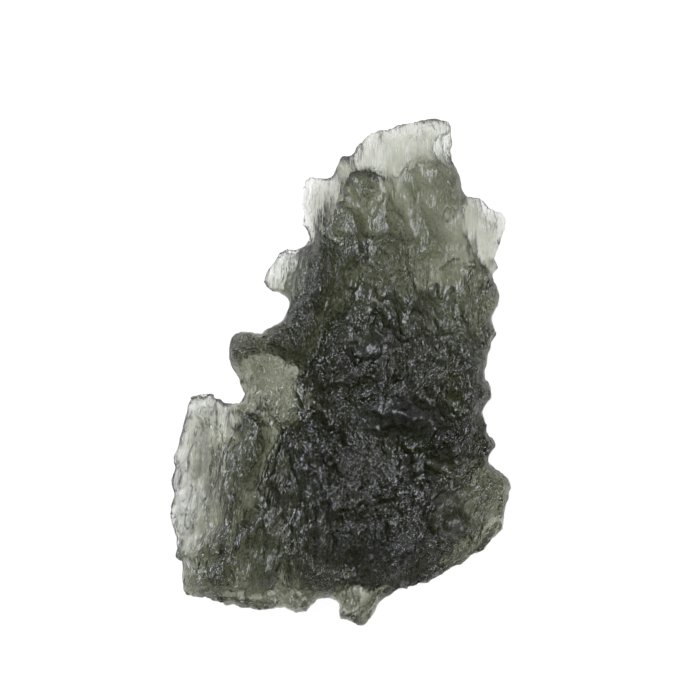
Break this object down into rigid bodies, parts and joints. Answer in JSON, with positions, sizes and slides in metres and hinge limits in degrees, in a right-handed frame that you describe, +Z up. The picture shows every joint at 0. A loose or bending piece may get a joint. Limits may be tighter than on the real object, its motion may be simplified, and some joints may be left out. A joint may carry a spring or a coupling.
{
  "type": "moldavite",
  "caption": "Flat etched moldavite of olive natural glass, with a tapering crown, thin ears, a side blade and a thick dark body; it lies on a small flat spot.",
  "frame": {"origin": "middle of the stone's box, on the surface that it rests on", "axes": "+Z up, away from the surface, along the thickness; +Y along the length, towards the narrow crown"},
  "size_m": [0.0242, 0.0356, 0.0089],
  "materials": {
    "olive_glass": "etched, glossy, see-through where it is thin"
  },
  "bodies": {
    "root": {"moldavite": "olive_glass"}
  },
  "joints": []
}
